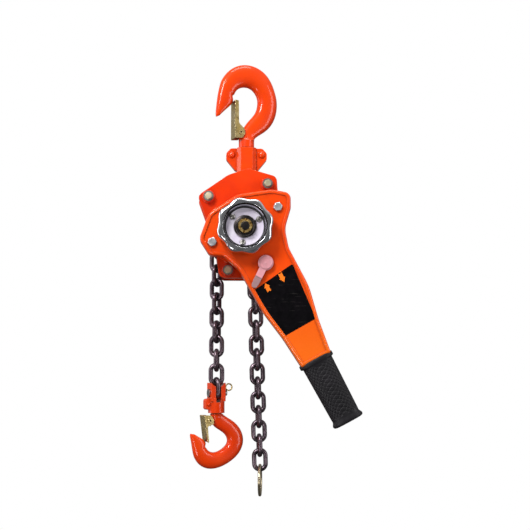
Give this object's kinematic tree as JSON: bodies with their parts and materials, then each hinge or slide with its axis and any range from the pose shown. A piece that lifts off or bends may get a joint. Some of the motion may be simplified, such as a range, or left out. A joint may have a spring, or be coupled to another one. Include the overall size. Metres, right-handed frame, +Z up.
{
  "type": "lever chain hoist",
  "caption": "Hanging lever chain hoist: latched swivel hooks above and below, painted side-plate body with handwheel, gripped lever on a ratchet, and a round-link load chain.",
  "frame": {"origin": "the top hook's saddle, where it rests on its hanger", "axes": "+Z up along the hook's shank; -Y is the front, where the handwheel and lever are; +X to the right seen from the front"},
  "size_m": [0.2101, 0.146, 0.5546],
  "materials": {
    "forged_paint": "gloss",
    "plate_paint": "gloss",
    "lever_paint": "gloss",
    "zinc_yellow": "satin",
    "zinc_white": "satin",
    "blackened_steel": "satin",
    "machined_steel": "satin",
    "chain_steel": "semi-gloss",
    "friction_lining": "matte",
    "sheave_iron": "satin",
    "gear_steel": "oiled",
    "wheel_chrome": "polished",
    "disc_enamel": "satin",
    "selector_casting": "satin",
    "grip_rubber": "matte",
    "bearing_bronze": "satin",
    "spring_steel": "satin"
  },
  "bodies": {
    "hook": {"top_hook": "forged_paint", "top_latch_pin": "zinc_yellow", "top_latch_spring": "spring_steel"},
    "top_latch": {"top_latch": "zinc_yellow"},
    "top_yoke": {"top_yoke_front": "forged_paint", "top_yoke_rear": "forged_paint", "top_yoke_rivets": "forged_paint"},
    "frame": {"front_side_plate": "plate_paint", "rear_side_plate": "plate_paint", "brake_cover": "plate_paint", "gear_case": "plate_paint", "gear_case_screws": "zinc_white", "stay_bolts": "zinc_yellow", "stay_nuts": "zinc_white", "sheave_bushes": "bearing_bronze", "suspension_pin": "machined_steel", "chain_stripper": "machined_steel", "chain_guide": "machined_steel", "guide_pins": "machined_steel", "pawl_studs": "machined_steel", "pawl_springs": "spring_steel", "chain_over_sheave": "chain_steel"},
    "sheave": {"load_sheave": "sheave_iron", "load_gear": "gear_steel"},
    "upper_gear": {"intermediate_gear_upper": "gear_steel"},
    "lower_gear": {"intermediate_gear_lower": "gear_steel"},
    "drive": {"drive_shaft": "machined_steel", "brake_hub": "machined_steel", "friction_discs": "friction_lining", "ratchet_disc": "gear_steel", "change_gear": "gear_steel", "handwheel": "wheel_chrome", "handwheel_disc": "disc_enamel", "disc_screws": "zinc_white", "hub_ring": "blackened_steel", "castle_nut": "zinc_yellow"},
    "right_pawl": {"brake_pawl_right": "gear_steel"},
    "left_pawl": {"brake_pawl_left": "gear_steel"},
    "lever": {"lever_rear_shell": "lever_paint", "lever_front_shell": "lever_paint", "lever_bolts": "zinc_white", "lever_grip": "grip_rubber"},
    "selector": {"selector_lever": "selector_casting", "selector_pawl": "gear_steel"},
    "load_chain_top": {"load_chain_upper": "chain_steel"},
    "load_chain_mid": {"load_chain_middle": "chain_steel"},
    "load_chain_low": {"load_chain_lower": "chain_steel"},
    "bottom_yoke": {"bottom_yoke_front": "forged_paint", "bottom_yoke_rear": "forged_paint", "bottom_yoke_rivet": "forged_paint", "chain_pin": "machined_steel", "chain_pin_cotter": "zinc_yellow"},
    "bottom_hook": {"bottom_hook": "forged_paint", "bottom_latch_pin": "zinc_yellow", "bottom_latch_spring": "spring_steel"},
    "bottom_latch": {"bottom_latch": "zinc_yellow"},
    "tail_chain_top": {"tail_chain_upper": "chain_steel"},
    "tail_chain_mid": {"tail_chain_middle": "chain_steel"},
    "tail_chain_low": {"tail_chain_lower": "chain_steel"},
    "end_ring": {"end_ring": "zinc_yellow"}
  },
  "joints": [
    {"name": "top_latch_hinge", "type": "hinge", "parent": "hook", "child": "top_latch", "pos_m": [-0.00961, -0.00276, -0.0615], "axis": [-0.2756, 0.9613, 0], "range_deg": [0, 30], "stiffness_Nm_per_rad": 0.02, "springref_deg": -34.38, "deforming": ["top_latch_spring"]},
    {"name": "yoke_swivel", "type": "hinge", "parent": "hook", "child": "top_yoke", "pos_m": [0, 0, -0.085], "axis": [0, 0, 1], "continuous": true},
    {"name": "suspension_pivot", "type": "hinge", "parent": "top_yoke", "child": "frame", "pos_m": [0.0005, 0, -0.127], "axis": [0, 1, 0], "range_deg": [-12, 12]},
    {"name": "sheave_spin", "type": "hinge", "parent": "frame", "child": "sheave", "pos_m": [-0.0044, 0, -0.193], "axis": [0, 1, 0], "range_deg": [0, 90], "deforming": ["chain_over_sheave"]},
    {"name": "upper_gear_spin", "type": "hinge", "parent": "frame", "child": "upper_gear", "pos_m": [-0.01217, 0, -0.16402], "axis": [0, 1, 0], "range_deg": [-180, 0]},
    {"name": "lower_gear_spin", "type": "hinge", "parent": "frame", "child": "lower_gear", "pos_m": [0.00336, 0, -0.22198], "axis": [0, 1, 0], "range_deg": [-180, 0]},
    {"name": "drive_spin", "type": "hinge", "parent": "frame", "child": "drive", "pos_m": [-0.0044, 0, -0.193], "axis": [0, 1, 0], "range_deg": [0, 540]},
    {"name": "right_pawl_pivot", "type": "hinge", "parent": "frame", "child": "right_pawl", "pos_m": [0.02385, 0, -0.17798], "axis": [0, -1, 0], "range_deg": [-4, 0], "stiffness_Nm_per_rad": 0.02, "springref_deg": -17.19},
    {"name": "left_pawl_pivot", "type": "hinge", "parent": "frame", "child": "left_pawl", "pos_m": [-0.03265, 0, -0.20802], "axis": [0, -1, 0], "range_deg": [-4, 0], "stiffness_Nm_per_rad": 0.02, "springref_deg": -17.19},
    {"name": "lever_swing", "type": "hinge", "parent": "frame", "child": "lever", "pos_m": [-0.0044, 0, -0.193], "axis": [0, 1, 0], "continuous": true},
    {"name": "selector_swing", "type": "hinge", "parent": "lever", "child": "selector", "pos_m": [0.02146, 0, -0.23633], "axis": [0, 1, 0], "range_deg": [-12, 12]},
    {"name": "load_strand_run", "type": "slide", "parent": "frame", "child": "load_chain_top", "axis": [0, 0, 1], "range_m": [0, 0.036]},
    {"name": "load_strand_sway", "type": "hinge", "parent": "load_chain_top", "child": "load_chain_mid", "pos_m": [-0.0376, 0, -0.3092], "axis": [1, 0, 0], "range_deg": [-10, 10]},
    {"name": "load_strand_swing", "type": "hinge", "parent": "load_chain_mid", "child": "load_chain_low", "pos_m": [-0.0376, 0, -0.3632], "axis": [0, 1, 0], "range_deg": [-1, 6]},
    {"name": "load_pin_pivot", "type": "hinge", "parent": "load_chain_low", "child": "bottom_yoke", "pos_m": [-0.0376, 0, -0.3956], "axis": [0.9397, 0.342, 0], "range_deg": [-20, 20]},
    {"name": "bottom_hook_swivel", "type": "hinge", "parent": "bottom_yoke", "child": "bottom_hook", "pos_m": [-0.0376, 0, -0.415], "axis": [0, 0, 1], "continuous": true},
    {"name": "bottom_latch_hinge", "type": "hinge", "parent": "bottom_hook", "child": "bottom_latch", "pos_m": [-0.04841, -0.00393, -0.4301], "axis": [0.342, -0.9397, 0], "range_deg": [0, 20], "stiffness_Nm_per_rad": 0.02, "springref_deg": -34.38, "deforming": ["bottom_latch_spring"]},
    {"name": "tail_strand_run", "type": "slide", "parent": "frame", "child": "tail_chain_top", "axis": [0.0305, 0, -0.9995], "range_m": [0, 0.036]},
    {"name": "tail_strand_sway", "type": "hinge", "parent": "tail_chain_top", "child": "tail_chain_mid", "pos_m": [0.0124, 0, -0.3082], "axis": [1, 0, 0], "range_deg": [-10, 10]},
    {"name": "tail_strand_swing", "type": "hinge", "parent": "tail_chain_mid", "child": "tail_chain_low", "pos_m": [0.01515, 0, -0.3982], "axis": [0, 1, 0], "range_deg": [-12, 1]},
    {"name": "end_ring_swing", "type": "hinge", "parent": "tail_chain_low", "child": "end_ring", "pos_m": [0.0178, 0, -0.4912], "axis": [0.9945, -0.1045, 0], "range_deg": [-30, 30]}
  ],
  "couplings": [
    {"joint": "upper_gear_spin", "follows": "sheave_spin", "ratio": -2},
    {"joint": "lower_gear_spin", "follows": "sheave_spin", "ratio": -2},
    {"joint": "drive_spin", "follows": "sheave_spin", "ratio": 6},
    {"joint": "load_strand_run", "follows": "sheave_spin", "m_per_rad": 0.022918},
    {"joint": "tail_strand_run", "follows": "sheave_spin", "m_per_rad": 0.022918}
  ]
}
